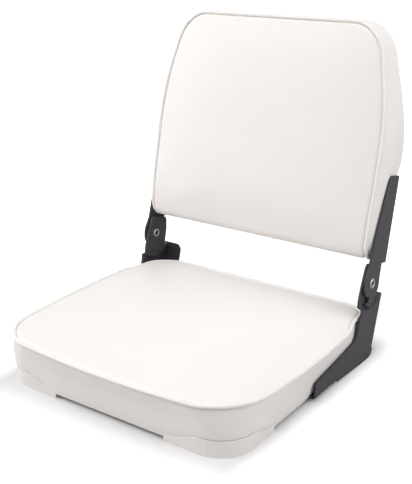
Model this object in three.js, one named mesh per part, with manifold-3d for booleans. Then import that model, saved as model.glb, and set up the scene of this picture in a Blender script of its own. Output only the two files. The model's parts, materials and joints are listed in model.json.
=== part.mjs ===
// Folding boat seat: a moulded pan with a sewn cushion, a padded backrest and, on each side,
// a stamped hinge of two steel brackets held together by one tubular rivet.
// Millimetres, +Z up, X across the seat, +Y towards the rear.
// The origin is the middle of the pedestal mounting face, which is level with the feet.
import * as THREE from 'three';
import { mergeVertices } from 'three/addons/utils/BufferGeometryUtils.js';
import Module from 'manifold-3d';

const wasm = await Module();
wasm.setup();

// The two sizes that the rest is set out from: across the brackets, and the seat's depth
const bracketSpan = 398.6;
const seatDepth = 367;

// Seat cushion at its seam, and at the lower edge of its cover
const seatFrontTuck = 7.1;
const seatRearTuck = 6.1;
const seatRearEase = 3;
const seatFrontRadius = 60;
const seatRearRadius = 62;
const seatFrontBow = 15.5;
const seatSideBow = 13.3;
const seatSqueezeEase = 14;
const seatSqueezeSlope = 0.4;
const seatSeamHeight = 68;
const seatSeamRise = 3.8;
const seatCrown = 9;
const coverTuck = 8.3;
const coverFrontRadius = 47;
const coverRearRadius = 18;
const coverFrontSetback = 1;
const coverRearSetback = 4.2;
const coverKneeHeight = 42;
const coverKneeShare = 0.25;

// Sewn covers and their welt cord
const vinylThickness = 1.2;
const softClearance = 0.3;
const coverEase = 0.9;
const pipingRadius = 2.8;
const pipingSetback = 1.5;

// Moulded pan with its front corner shoes and pedestal pad
const panWall = 3;
const panRimBottom = 5.7;
const panDeckTop = 22;
const panRibThickness = 2.5;
const panRibDrop = 5;
const panRibPitch = 44;
const crossRibInset = 53.5;
const shoeWidth = 100.3;
const shoeDepth = 99.5;
const shoeWall = 4.5;
const shoeHeight = 24;
const shoeRise = 50;
const padHalfWidth = 84;
const padFloor = 4;
const pedestalBoltSpacing = 127;
const bossRadius = 9;
const rearPadHalfWidth = 9;

// Backrest cushion, in its own upright axes: x across, z up the seam plane, y to the rear
const leanAngle = THREE.MathUtils.degToRad(12.1);
const backSeamFromRear = 29.7;
const backSeamZ = 160;
const backHeight = 324;
const backTuck = 7.6;
const backSideSwell = 3.4;
const backSwellDepth = 24;
const backWidestHeight = 147;
const backTopNarrowing = 34;
const backFootNarrowing = 3;
const backTopRadius = 38;
const backFootRadius = 14;
const backRoll = 16;
const backRollHeight = 24;
const backCrown = 9;
const backThickness = 62.5;
const backRearRadius = 9;
const boardThickness = 10;
const boardInset = 12;
const boardChamfer = 3;

// Steel plate, bends and the hinge pivot, measured from the backrest's lower seam
const plateThickness = 3;
const bendRadius = 4.5;
const flangeWidth = 33;
const flangeCornerRadius = 11;
const pivotDrop = 37.1;
const pivotSetback = 23.8;
const washerThickness = 1.8;
const washerRadius = 13;
const faceClearance = 0.1;
const pivotHoleClearance = 0.25;
const rivetShankRadius = 5;
const rivetBore = 3.4;
const rivetOuterHeadRadius = 7.8;
const rivetInnerHeadRadius = 7;
const rivetHeadHeight = 1.8;

// Back bracket, measured from the pivot along the backrest's own axes
const armFrontReach = 22.5;
const armRearReach = 24.5;
const armShoulderHeight = 8;
const armNeckSetback = 16;
const armNeckHeight = 26;
const lobeRadius = 22;
const clawReach = 37.5;
const clawHeelDrop = 9;
const clawFlankSetback = 2.2;
const clawNotchDrop = 19;
const clawTipRadius = 4;
const plateWaistHeight = 64;
const plateWaistSetback = 13;
const plateTopHeight = 155;
const plateTopReach = 6.5;
const plateTopRadius = 8;
const armStepHeight = 28;

// The arm lies a little inside the upright's outer face. The ear of the seat bracket is
// joggled inwards behind it, and carries the stop that is pressed out of it
const armRecess = 1;
const earTopHeight = 31;
const earTopFront = 8.5;
const earTopFall = 10;
const earFrontReach = 21.5;
const earRearReach = 28.5;
const earRearTaper = 6;
const earBulge = 27;
const earBulgeDrop = 17;
const earCornerRadius = 7;
const joggleRadius = 38.3;
const joggleSlope = 3;
const joggleFrontAngle = THREE.MathUtils.degToRad(238);
const joggleRearAngle = THREE.MathUtils.degToRad(300);
const stopRadius = 3;
const stopReach = 31.2;
const stopDimpleRadius = 2.2;
const stopDimpleDepth = 1.4;

// Seat bracket in side view, measured forward from the seat's rear edge
const armFrontFromRear = 175.5;
const forwardArmFrontTop = 28.3;
const elbowFromRear = 58;
const elbowZ = 45;
const elbowRadius = 14;
const heelFromRear = 3;
const heelHeight = 0.4;
const heelRadius = 12;
const heelRun = 33;
const bottomFlangeZ = 4.5;
const bottomFlangeFromRear = 175;
const bottomFlangeLength = 63;
const bracketCornerRadius = 5;
const uprightLean = THREE.MathUtils.degToRad(16.3);
const uprightFrontLean = THREE.MathUtils.degToRad(25.5);
const uprightBehindRear = 24.8;
const uprightTopZ = 91.5;
const rearFlangeFootZ = 7;

// Machine screws and the threaded inserts that they go into
const screwRadius = 2.9;
const screwHeadRadius = 5.4;
const screwHeadHeight = 3.2;
const screwHoleClearance = 0.4;
const insertRadius = 4.6;
const insertLength = 8;
const insertClearance = 0.3;
const bottomScrewInset = 18;
const flangeScrewInset = 26.5;
const rearScrewHeight = 13;
const backScrewInset = 21.9;
const backScrewSpacing = 74;

// Counts and steps that set how fine the meshes are, and one overrun for cuts
const overrun = 5;
const arcStep = THREE.MathUtils.degToRad(15);
const roundSides = 16;
const screwSides = 10;
const pipingSides = 6;
const cornerSteps = 7;
const sideSteps = 9;
const panelShares = [1, 0.93, 0.8, 0.6, 0.32];
const liningShares = [1, 0.8, 0.45];
const crownPower = 3;

// What follows from the sizes above
const seatFrontHalfWidth = bracketSpan / 2 - seatFrontTuck;
const seatRearHalfWidth = bracketSpan / 2 - seatRearTuck;
const coverHalfWidth = bracketSpan / 2 - coverTuck;
const backHalfWidth = bracketSpan / 2 - backTuck;
const seatHalfDepth = seatDepth / 2;
const backSeamY = seatHalfDepth - backSeamFromRear;
const forwardArmFrontY = seatHalfDepth - armFrontFromRear;
const elbowY = seatHalfDepth - elbowFromRear;
const heelY = seatHalfDepth - heelFromRear;
const heelRunY = heelY - heelRun;
const bottomFlangeFrontY = seatHalfDepth - bottomFlangeFromRear;
const bottomFlangeRearY = bottomFlangeFrontY + bottomFlangeLength;
const uprightRearY = seatHalfDepth + uprightBehindRear;
const shoeInnerX = coverHalfWidth - shoeWidth;
const shoeInnerY = seatHalfDepth - shoeDepth;
const crossRibY = seatHalfDepth - crossRibInset;
const coverFoot = panRimBottom + softClearance;
const coverGap = vinylThickness + softClearance;
const coverInset = vinylThickness + coverEase;
const pipingReach = pipingRadius + softClearance;
const panelInset = pipingSetback + pipingReach;
const pipingHeight = seatSeamHeight + pipingRadius;
const deckBottom = panDeckTop - panWall;
const bracketOuterX = bracketSpan / 2;
const bracketInnerX = bracketOuterX - plateThickness;
const armOuterX = bracketOuterX - armRecess;
const armInnerX = armOuterX - plateThickness;
const hingeGap = washerThickness + 2 * faceClearance;
const earOuterX = armInnerX - hingeGap;
const earInnerX = earOuterX - plateThickness;
const flangeInnerX = bracketOuterX - flangeWidth;
const pivotY = backSeamY + pivotSetback * Math.cos(leanAngle) - pivotDrop * Math.sin(leanAngle);
const pivotZ = backSeamZ - pivotSetback * Math.sin(leanAngle) - pivotDrop * Math.cos(leanAngle);
const bottomFlangeTop = bottomFlangeZ + plateThickness;
const backFlangeY = backThickness + softClearance;
const boardRearY = backThickness - coverGap;
const boardFrontY = boardRearY - boardThickness;
const screwLength = plateThickness + insertLength;
const backScrewHigh = plateTopHeight - pivotDrop - backScrewInset;
const backScrewLow = backScrewHigh - backScrewSpacing;

// Paint, plastics and cloth
function finish(color, roughness, metalness = 0) {
  return new THREE.MeshStandardMaterial({ color, roughness, metalness });
}
const vinyl = finish(0xf3efea, 0.45);
const foam = finish(0xe9d9a6, 0.95);
const whitePlastic = finish(0xdedde2, 0.5);
const charcoalSteel = finish(0x47464b, 0.5, 0.3);
const brightSteel = finish(0xc4c6c8, 0.28, 1);
const brass = finish(0xb59a55, 0.4, 1);
const plywood = finish(0xb99b6b, 0.8);
const nylon = finish(0x1d1d1f, 0.55);

// A closed geometry as a solid, and back
function solidOf(geometry) {
  const bare = new THREE.BufferGeometry();
  bare.setAttribute('position', geometry.getAttribute('position').clone());
  if (geometry.index) bare.setIndex(geometry.index.clone());
  const merged = mergeVertices(bare);
  return new wasm.Manifold(new wasm.Mesh({
    numProp: 3,
    vertProperties: new Float32Array(merged.getAttribute('position').array),
    triVerts: new Uint32Array(merged.index.array),
  }));
}

function geometryOf(solid) {
  const mesh = solid.getMesh();
  const places = [];
  for (let i = 0; i < mesh.numVert; i += 1) {
    const start = i * mesh.numProp;
    places.push(...mesh.vertProperties.slice(start, start + 3));
  }
  const geometry = new THREE.BufferGeometry();
  geometry.setAttribute('position', new THREE.Float32BufferAttribute(places, 3));
  geometry.setIndex(Array.from(mesh.triVerts));
  return geometry;
}

function joinAll(solids) {
  return solids.reduce((whole, piece) => whole.add(piece));
}

function cutAll(solid, cutters) {
  return cutters.reduce((rest, cutter) => rest.subtract(cutter), solid);
}

// A block between two corners, if need be in a turned frame
function block(low, high, frame = new THREE.Matrix4()) {
  const size = high.map((value, k) => value - low[k]);
  const middle = high.map((value, k) => (value + low[k]) / 2);
  return solidOf(new THREE.BoxGeometry(...size).translate(...middle).applyMatrix4(frame));
}

// A cylinder that starts at a point and runs along +X, +Y or +Z
function rod(radius, start, length, axis, frame = new THREE.Matrix4()) {
  const geometry = new THREE.CylinderGeometry(radius, radius, length, roundSides);
  geometry.translate(0, length / 2, 0);
  if (axis === 'z') geometry.rotateX(Math.PI / 2);
  if (axis === 'x') geometry.rotateZ(-Math.PI / 2);
  return solidOf(geometry.translate(...start).applyMatrix4(frame));
}

function arcPoints(x, y, radius, from, to) {
  const count = Math.max(2, Math.ceil(Math.abs(to - from) / arcStep));
  return Array.from({ length: count + 1 }, (_, i) => {
    const angle = from + ((to - from) * i) / count;
    return new THREE.Vector2(x + radius * Math.cos(angle), y + radius * Math.sin(angle));
  });
}

// An outline through corners [x, y, radius], each rounded by an arc of its radius
function filleted(corners) {
  const points = [];
  corners.forEach(([x, y, radius = 0], i) => {
    const here = new THREE.Vector2(x, y);
    const back = new THREE.Vector2(...corners.at(i - 1).slice(0, 2)).sub(here).normalize();
    const ahead = new THREE.Vector2(...corners[(i + 1) % corners.length].slice(0, 2)).sub(here).normalize();
    const turn = Math.PI - Math.acos(THREE.MathUtils.clamp(back.dot(ahead), -1, 1));
    if (radius === 0 || turn === 0) {
      points.push(here);
      return;
    }
    const side = Math.sign(back.cross(ahead));
    const start = here.clone().addScaledVector(back, radius * Math.tan(turn / 2));
    const centre = start.clone().addScaledVector(new THREE.Vector2(-back.y, back.x), side * radius);
    const angle = Math.atan2(start.y - centre.y, start.x - centre.x);
    points.push(...arcPoints(centre.x, centre.y, radius, angle, angle - side * turn));
  });
  return points;
}

// A flat plate cut from an outline of [y, z], between two values of x
function plateX(outline, fromX, toX, frame = new THREE.Matrix4()) {
  const geometry = new THREE.ExtrudeGeometry(new THREE.Shape(outline), {
    depth: toX - fromX, bevelEnabled: false,
  });
  const basis = new THREE.Matrix4().makeBasis(
    new THREE.Vector3(0, 1, 0), new THREE.Vector3(0, 0, 1), new THREE.Vector3(1, 0, 0),
  );
  return solidOf(geometry.applyMatrix4(basis).translate(fromX, 0, 0).applyMatrix4(frame));
}

function volumeOf(places, faces) {
  const corner = (k) => new THREE.Vector3(...places.slice(3 * k, 3 * k + 3));
  let sum = 0;
  for (let f = 0; f < faces.length; f += 3) {
    sum += corner(faces[f]).dot(corner(faces[f + 1]).cross(corner(faces[f + 2])));
  }
  return sum;
}

// A solid through rings of equal count: open at both ends and closed there by two middle
// points, or, without them, closed on itself as a band
function ringGeometry(rings, poles = []) {
  const count = rings[0].length;
  const places = [...rings.flat(), ...poles].flatMap((point) => [point.x, point.y, point.z]);
  const faces = [];
  const spans = poles.length ? rings.length - 1 : rings.length;
  for (let r = 0; r < spans; r += 1) {
    const here = r * count;
    const there = ((r + 1) % rings.length) * count;
    for (let i = 0; i < count; i += 1) {
      const j = (i + 1) % count;
      faces.push(here + i, here + j, there + j, here + i, there + j, there + i);
    }
  }
  if (poles.length) {
    const first = rings.length * count;
    const end = first - count;
    for (let i = 0; i < count; i += 1) {
      const j = (i + 1) % count;
      faces.push(first, j, i, first + 1, end + i, end + j);
    }
  }
  const geometry = new THREE.BufferGeometry();
  geometry.setAttribute('position', new THREE.Float32BufferAttribute(places, 3));
  geometry.setIndex(volumeOf(places, faces) > 0 ? faces : faces.reverse());
  return geometry;
}

function middleOf(ring) {
  return ring.reduce((total, point) => total.add(point), new THREE.Vector3()).divideScalar(ring.length);
}

function closedRings(rings) {
  return ringGeometry(rings, [middleOf(rings[0]), middleOf(rings.at(-1))]);
}

// A rounded rectangle as a fixed number of points, so that rings of any size match
function roundedRectangle(halfWidth, low, high, lowRadius, highRadius) {
  const arcs = [
    [halfWidth - highRadius, high - highRadius, highRadius],
    [highRadius - halfWidth, high - highRadius, highRadius],
    [lowRadius - halfWidth, low + lowRadius, lowRadius],
    [halfWidth - lowRadius, low + lowRadius, lowRadius],
  ].map(([x, y, radius], quarter) => Array.from({ length: cornerSteps + 1 }, (_, i) => {
    const angle = (quarter + i / cornerSteps) * (Math.PI / 2);
    return new THREE.Vector2(x + radius * Math.cos(angle), y + radius * Math.sin(angle));
  }));
  return arcs.flatMap((arc, k) => {
    const next = arcs[(k + 1) % arcs.length][0];
    const side = Array.from({ length: sideSteps - 1 }, (_, i) => (
      arc.at(-1).clone().lerp(next, (i + 1) / sideSteps)));
    return [...arc, ...side];
  });
}

// Edges of the upright of the seat bracket, which the cushion is squeezed between
function uprightFrontAt(z) {
  return elbowY + (z - elbowZ) * Math.tan(uprightFrontLean);
}

function uprightRearAt(z) {
  return uprightRearY + (z - uprightTopZ) * Math.tan(uprightLean);
}

// Plan outline of the seat at its seam: it bows at the front and the sides, and is squeezed
// between the uprights
function seamOutline(inset) {
  const halfWidth = seatFrontHalfWidth - inset;
  const squeezedX = bracketInnerX - pipingReach + pipingSetback - inset;
  const squeezeStart = uprightFrontAt(seatSeamHeight) - seatSqueezeEase;
  return roundedRectangle(
    halfWidth, inset - seatHalfDepth, seatHalfDepth - seatRearEase - inset,
    seatFrontRadius - inset, seatRearRadius - inset,
  ).map(({ x, y }) => {
    const along = (y + seatHalfDepth) / seatDepth;
    const across = Math.abs(x) / halfWidth;
    const bow = seatSideBow * (1 - (2 * along - 1) ** 2);
    const narrowing = (seatFrontHalfWidth - seatRearHalfWidth) * along;
    const free = Math.abs(x) + across * (bow - narrowing);
    const half = Math.min(free, squeezedX + seatSqueezeSlope * Math.max(0, squeezeStart - y));
    const front = Math.max(0, -y / seatHalfDepth) * seatFrontBow * (1 - across ** 2);
    return new THREE.Vector2(Math.sign(x) * half, y - front);
  });
}

// Plan outline of the cover at its lower edge
function footOutline(inset) {
  return roundedRectangle(
    coverHalfWidth - inset,
    inset + coverFrontSetback - seatHalfDepth, seatHalfDepth - coverRearSetback - inset,
    coverFrontRadius - inset, coverRearRadius - inset,
  );
}

// Height of the seam, which rises a little to the rear
function seamHeightAt(y) {
  return seatSeamHeight + (seatSeamRise * y) / seatDepth;
}

// The cover leans out a little up to its knee, beside the bracket's arm, and more above it
function leanShare(z, seam) {
  const knee = coverKneeShare * Math.max(0, (z - coverFoot) / (coverKneeHeight - coverFoot));
  const rest = (1 - coverKneeShare) * ((z - coverKneeHeight) / (seam - coverKneeHeight));
  return z < coverKneeHeight ? knee : coverKneeShare + rest;
}

// One ring of the seat's side wall: heightAt gives z from the foot point and the seam's height
function wallRing(inset, heightAt) {
  const low = footOutline(inset);
  return seamOutline(inset).map((high, i) => {
    const seam = seamHeightAt(high.y);
    const z = heightAt(low[i], seam);
    const place = low[i].clone().lerp(high, leanShare(z, seam));
    return new THREE.Vector3(place.x, place.y, z);
  });
}

// The cover's lower edge climbs over the moulded shoe at each front corner
function coverEdgeAt({ x, y }) {
  const across = (Math.abs(x) - shoeInnerX) / shoeRise;
  const along = (-y - shoeInnerY) / shoeRise;
  const share = THREE.MathUtils.smoothstep(Math.min(across, along), 0, 1);
  return coverFoot + (shoeHeight - coverFoot) * share;
}

// Rings of the crowned top: each is a smaller copy of the seam, raised towards the middle
function seatTopRings(inset, lift, shares) {
  const edge = seamOutline(inset);
  return shares.map((share) => edge.map((point) => {
    const place = point.clone().multiplyScalar(share);
    const base = seamHeightAt(point.y) + pipingRadius;
    const z = base + lift + seatCrown * (1 - share ** crownPower);
    return new THREE.Vector3(place.x, place.y, z);
  }));
}

// The frame of the seat bracket's rear flange: +Y out of its rear face, +Z up along it
const flangeFrame = new THREE.Matrix4().makeTranslation(0, uprightRearY, uprightTopZ)
  .multiply(new THREE.Matrix4().makeRotationX(-uprightLean));
const rearScrewDrop = (uprightTopZ - rearScrewHeight) / Math.cos(uprightLean);

// The bracket's flanges and the pads that they are screwed to reach through the cover's edge
function coverNotches(margin) {
  const rearPadX = bracketOuterX - flangeScrewInset;
  return [1, -1].flatMap((side) => {
    const across = (a, b) => (side > 0 ? [a, b] : [-b, -a]);
    const [flangeLow, flangeHigh] = across(flangeInnerX - margin, bracketOuterX);
    const [padLow, padHigh] = across(
      rearPadX - rearPadHalfWidth - margin, rearPadX + rearPadHalfWidth + margin,
    );
    return [
      block(
        [flangeLow, bottomFlangeFrontY - margin, bottomFlangeZ - overrun],
        [flangeHigh, bottomFlangeRearY + margin, bottomFlangeTop + margin],
      ),
      block(
        [padLow, seatHalfDepth - coverRearRadius, panRimBottom - overrun],
        [padHigh, uprightRearY, panDeckTop + margin],
      ),
    ];
  });
}

function seatScrewPlaces() {
  const length = bottomFlangeRearY - bottomFlangeFrontY;
  return [1, -1].flatMap((side) => ['front', 'rear'].map((end) => ({
    name: `${side > 0 ? 'right' : 'left'}_${end}`,
    x: side * (bracketOuterX - bottomScrewInset),
    y: end === 'front' ? bottomFlangeFrontY + length / 4 : bottomFlangeRearY - length / 4,
  })));
}

function pedestalPlaces() {
  const half = pedestalBoltSpacing / 2;
  return [1, -1].flatMap((side) => [-1, 1].map((end) => ({
    name: `${side > 0 ? 'right' : 'left'}_${end < 0 ? 'front' : 'rear'}`,
    x: side * half,
    y: end * half,
  })));
}

// The pan: a ribbed tray with a pedestal pad, screw bosses and two front corner shoes
function seatPan() {
  const level = (z) => () => z;
  const body = (inset, low, high) => (
    solidOf(closedRings([wallRing(inset, level(low)), wallRing(inset, level(high))])));
  const outer = body(coverInset, panRimBottom, panDeckTop);
  const cavity = body(coverInset + panWall, panRimBottom - overrun, deckBottom);
  const tray = outer.subtract(cavity);

  const reach = seatFrontHalfWidth;
  const ribs = [];
  for (let at = panRibPitch / 2; at < seatHalfDepth; at += panRibPitch) {
    for (const place of [at, -at]) {
      const [low, high] = [place - panRibThickness / 2, place + panRibThickness / 2];
      ribs.push(block([low, -reach, deckBottom - panRibDrop], [high, reach, deckBottom + panWall / 2]));
    }
  }
  for (const place of [-crossRibY, crossRibY]) {
    const [low, high] = [place - panRibThickness / 2, place + panRibThickness / 2];
    ribs.push(block([-reach, low, deckBottom - panRibDrop], [reach, high, deckBottom + panWall / 2]));
  }

  const seatBosses = seatScrewPlaces().map(({ x, y }) => (
    rod(bossRadius, [x, y, bottomFlangeTop], deckBottom + panWall / 2 - bottomFlangeTop, 'z')));
  const rearPadX = bracketOuterX - flangeScrewInset;
  const rearBosses = [1, -1].map((side) => block(
    [side * rearPadX - rearPadHalfWidth, seatHalfDepth - coverRearRadius - insertLength, panRimBottom],
    [side * rearPadX + rearPadHalfWidth, seatHalfDepth, deckBottom + panWall / 2],
  ));
  const inside = joinAll([...ribs, ...seatBosses, ...rearBosses]).intersect(outer);

  const pad = block([-padHalfWidth, -padHalfWidth, 0], [padHalfWidth, padHalfWidth, panDeckTop]);
  const padInside = padHalfWidth - panWall;
  const padHollow = block(
    [-padInside, -padInside, padFloor], [padInside, padInside, panDeckTop + overrun],
  );
  const padRibs = [-panRibPitch / 2, panRibPitch / 2].flatMap((at) => {
    const [low, high] = [at - panRibThickness / 2, at + panRibThickness / 2];
    return [
      block([low, -padHalfWidth + panWall / 2, padFloor / 2], [high, padHalfWidth - panWall / 2, deckBottom]),
      block([-padHalfWidth + panWall / 2, low, padFloor / 2], [padHalfWidth - panWall / 2, high, deckBottom]),
    ];
  });
  const padBosses = pedestalPlaces().map(({ x, y }) => (
    rod(bossRadius, [x, y, padFloor / 2], deckBottom - padFloor / 2, 'z')));

  const shoeTop = (low) => coverEdgeAt(low) - coverEase;
  const shoeSkin = solidOf(closedRings([
    wallRing(0, level(0)), wallRing(0, level(panRimBottom / 2)), wallRing(0, shoeTop),
  ]));
  const shoeHollow = body(shoeWall, -overrun, deckBottom);
  const corners = joinAll([1, -1].map((side) => block(
    [side > 0 ? shoeInnerX : -reach, -seatDepth, -overrun],
    [side > 0 ? reach : -shoeInnerX, -shoeInnerY, shoeHeight],
  )));
  const deckCut = block([-reach, -seatDepth, panDeckTop], [reach, seatDepth, shoeHeight + overrun]);
  const shoeRim = shoeSkin.intersect(corners).subtract(shoeHollow);
  const shoes = shoeRim.subtract(deckCut.intersect(body(coverGap, panDeckTop, shoeHeight + overrun)));

  const rearPads = [1, -1].map((side) => block(
    [side * rearPadX - rearPadHalfWidth, seatHalfDepth - coverRearRadius, panRimBottom],
    [side * rearPadX + rearPadHalfWidth, uprightRearY, panDeckTop],
  ).subtract(block(
    [-reach, -plateThickness - softClearance, -seatDepth], [reach, seatDepth, seatDepth], flangeFrame,
  )));

  const whole = joinAll([cutAll(joinAll([tray, inside, pad]), [padHollow]), ...padRibs, ...padBosses]);
  const holes = [
    ...pedestalPlaces().map(({ x, y }) => (
      rod(insertRadius + insertClearance, [x, y, -overrun], panDeckTop + 2 * overrun, 'z'))),
    ...seatScrewPlaces().map(({ x, y }) => (
      rod(insertRadius + insertClearance, [x, y, bottomFlangeZ], panDeckTop, 'z'))),
    ...[1, -1].map((side) => rod(
      insertRadius + insertClearance,
      [side * rearPadX, -plateThickness - insertLength - 2 * softClearance, -rearScrewDrop],
      insertLength + overrun, 'y', flangeFrame,
    )),
    ...[1, -1].map((side) => block(
      [side > 0 ? flangeInnerX - softClearance : -bracketOuterX,
        bottomFlangeFrontY - softClearance, bottomFlangeZ - overrun],
      [side > 0 ? bracketOuterX : softClearance - flangeInnerX,
        bottomFlangeRearY + softClearance, bottomFlangeTop + softClearance],
    )),
  ];
  return geometryOf(cutAll(joinAll([whole, shoes, ...rearPads]), holes));
}

function seatFoam() {
  const foamFoot = panDeckTop + softClearance;
  const rings = [
    ...seatTopRings(panelInset + vinylThickness, -coverGap, [...liningShares].reverse()),
    wallRing(coverInset, (_, seam) => seam - pipingReach / 2),
    wallRing(coverInset, () => coverKneeHeight),
    wallRing(coverInset, () => foamFoot),
  ];
  return closedRings(rings);
}

// The top panel ends beside the welt cord
function seatTopPanel() {
  const upper = seatTopRings(panelInset, 0, panelShares);
  const lower = seatTopRings(panelInset, -vinylThickness, liningShares);
  return ringGeometry(
    [...upper.reverse(), ...lower], [middleOf(upper[0]), middleOf(lower.at(-1))],
  );
}

function seatBoxing() {
  const levels = [coverEdgeAt, () => coverKneeHeight, (_, seam) => seam - softClearance];
  const rings = [
    ...levels.map((level) => wallRing(0, level)),
    ...[...levels].reverse().map((level) => wallRing(vinylThickness, level)),
  ];
  return geometryOf(cutAll(solidOf(ringGeometry(rings)), coverNotches(softClearance)));
}

// A welt cord is a band of rings about the seam: ringAt takes the inset and the rise of each
function weltCord(ringAt) {
  return ringGeometry(Array.from({ length: pipingSides }, (_, k) => {
    const angle = (k / pipingSides) * 2 * Math.PI;
    return ringAt(pipingSetback + pipingRadius * Math.cos(angle), pipingRadius * Math.sin(angle));
  }));
}

function seatPiping() {
  return weltCord((inset, rise) => seamOutline(inset).map(({ x, y }) => (
    new THREE.Vector3(x, y, seamHeightAt(y) + pipingRadius + rise))));
}

// Front outline of the backrest: widest below the middle, drawn in to a rounded top
function backOutline(inset) {
  return roundedRectangle(
    backHalfWidth - inset, inset, backHeight - inset,
    Math.max(backFootRadius - inset, vinylThickness), backTopRadius - inset,
  ).map(({ x, y: height }) => {
    const above = Math.max(0, (height - backWidestHeight) / (backHeight - backWidestHeight));
    const below = Math.max(0, (backWidestHeight - height) / backWidestHeight);
    const narrowing = backTopNarrowing * above ** 2 + backFootNarrowing * below ** 2;
    return new THREE.Vector2(x * (1 - narrowing / backHalfWidth), height);
  });
}

// The seam plane turns rearwards where the front panel rolls under at the foot
function backRollAt(height) {
  return backRoll * Math.max(0, 1 - height / backRollHeight) ** 2;
}

function backRing(inset, y, share = 1, swell = 0) {
  const middle = new THREE.Vector2(0, backHeight / 2);
  return backOutline(inset).map((point) => {
    const place = point.clone().sub(middle).multiplyScalar(share).add(middle);
    const x = place.x * (1 + swell / backHalfWidth);
    return new THREE.Vector3(x, y(place.y), place.y);
  });
}

function backFaceRings(inset, lift, shares) {
  return shares.map((share) => backRing(
    inset, (height) => backRollAt(height) + lift - backCrown * (1 - share ** crownPower), share,
  ));
}

function backFoam() {
  const rear = boardFrontY - softClearance;
  return closedRings([
    ...backFaceRings(panelInset + coverGap, 2 * coverGap, [...liningShares].reverse()),
    backRing(coverInset, (height) => backRollAt(height) + pipingReach + coverGap),
    backRing(coverInset, () => backSwellDepth, 1, backSideSwell),
    backRing(coverInset, () => rear, 1, backSideSwell),
  ]);
}

function backFrontPanel() {
  const outer = backFaceRings(panelInset, 0, panelShares);
  const inner = backFaceRings(panelInset, vinylThickness, liningShares);
  return ringGeometry([...outer.reverse(), ...inner], [middleOf(outer[0]), middleOf(inner.at(-1))]);
}

// Sides and rear of the cover in one piece, with a rounded rear edge
function backRearCover() {
  const turn = (layer, k) => {
    const angle = (k * Math.PI) / 6;
    const radius = backRearRadius - layer;
    return backRing(
      backRearRadius - radius * Math.cos(angle),
      () => backThickness - backRearRadius + radius * Math.sin(angle), 1, backSideSwell,
    );
  };
  const front = (layer) => backRing(layer, (height) => backRollAt(height) + pipingReach);
  const side = (layer) => backRing(layer, () => backSwellDepth, 1, backSideSwell);
  const outer = [
    front(0), side(0), ...[0, 1, 2, 3].map((k) => turn(0, k)),
    backRing(backRearRadius, () => backThickness, 0.5),
  ];
  const inner = [
    front(vinylThickness), side(vinylThickness), ...[0, 1.5, 3].map((k) => turn(vinylThickness, k)),
    backRing(backRearRadius, () => backThickness - vinylThickness, 0.5),
  ];
  const cover = ringGeometry(
    [...outer.reverse(), ...inner], [middleOf(outer[0]), middleOf(inner.at(-1))],
  );
  const holes = backScrewPlaces().map(({ x, z }) => rod(
    screwRadius + screwHoleClearance, [x, backThickness - overrun, z], 2 * overrun, 'y',
  ));
  return geometryOf(cutAll(solidOf(cover), holes));
}

function backPiping() {
  return weltCord((inset, rise) => backRing(inset, (height) => backRollAt(height) + rise));
}

function backScrewPlaces() {
  return [1, -1].flatMap((side) => [['lower', backScrewLow], ['upper', backScrewHigh]].map(
    ([end, z]) => ({
      name: `${side > 0 ? 'right' : 'left'}_${end}`,
      x: side * (armOuterX - flangeScrewInset),
      z,
    }),
  ));
}

// The stiff board at the rear of the backrest, which holds the inserts
function backBoard() {
  const board = solidOf(closedRings([
    backRing(boardInset, () => boardFrontY),
    backRing(boardInset, () => boardRearY - boardChamfer),
    backRing(boardInset + boardChamfer, () => boardRearY),
  ]));
  const holes = backScrewPlaces().map(({ x, z }) => rod(
    insertRadius + insertClearance, [x, boardFrontY - overrun, z], boardThickness + 2 * overrun, 'y',
  ));
  return geometryOf(cutAll(board, holes));
}

// A flange bent inwards from a plate's edge: its outer face is y = 0, and it runs from low to
// high along z with rounded corners on its free edge
function bentFlange(outerX, low, high, frame) {
  const innerBend = bendRadius - plateThickness;
  const join = 2 * bendRadius;
  const centreX = outerX - bendRadius;
  const freeX = outerX - flangeWidth;
  const section = new THREE.Shape([
    new THREE.Vector2(outerX, -join),
    ...arcPoints(centreX, -bendRadius, bendRadius, 0, Math.PI / 2),
    new THREE.Vector2(freeX, 0),
    new THREE.Vector2(freeX, -plateThickness),
    ...arcPoints(centreX, -bendRadius, innerBend, Math.PI / 2, 0),
    new THREE.Vector2(outerX - plateThickness, -join),
  ]);
  const strip = new THREE.ExtrudeGeometry(section, { depth: high - low, bevelEnabled: false });
  const face = new THREE.Shape(filleted([
    [freeX, low, flangeCornerRadius],
    [outerX + overrun, low],
    [outerX + overrun, high],
    [freeX, high, flangeCornerRadius],
  ]));
  const trim = new THREE.ExtrudeGeometry(face, { depth: join + 2 * overrun, bevelEnabled: false });
  trim.rotateX(Math.PI / 2).translate(0, overrun, 0);
  const bent = solidOf(strip.translate(0, 0, low).applyMatrix4(frame));
  return bent.intersect(solidOf(trim.applyMatrix4(frame)));
}

// The part of the side view that lies behind the swinging arm: a round bay about the pivot
// with two straight sides, open at the top
function joggleBay(radius) {
  const front = new THREE.Vector2(Math.sin(joggleFrontAngle), -Math.cos(joggleFrontAngle));
  const rear = new THREE.Vector2(-Math.sin(joggleRearAngle), Math.cos(joggleRearAngle));
  const arc = arcPoints(pivotY, pivotZ, radius, joggleFrontAngle, joggleRearAngle);
  const frontEnd = arc[0].clone().addScaledVector(front, flangeWidth + overrun);
  const rearEnd = arc.at(-1).clone().addScaledVector(rear, flangeWidth + overrun);
  const top = pivotZ + 2 * earTopHeight;
  return [
    ...arc, rearEnd, new THREE.Vector2(rearEnd.x, top), new THREE.Vector2(frontEnd.x, top), frontEnd,
  ];
}

// A solid whose outline changes from one size of the bay to another along x
function taperedBay(fromX, fromRadius, toX, toRadius) {
  const ring = (x, radius) => joggleBay(radius).map((point) => new THREE.Vector3(x, point.x, point.y));
  return solidOf(closedRings([ring(fromX, fromRadius), ring(toX, toRadius)]));
}

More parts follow.
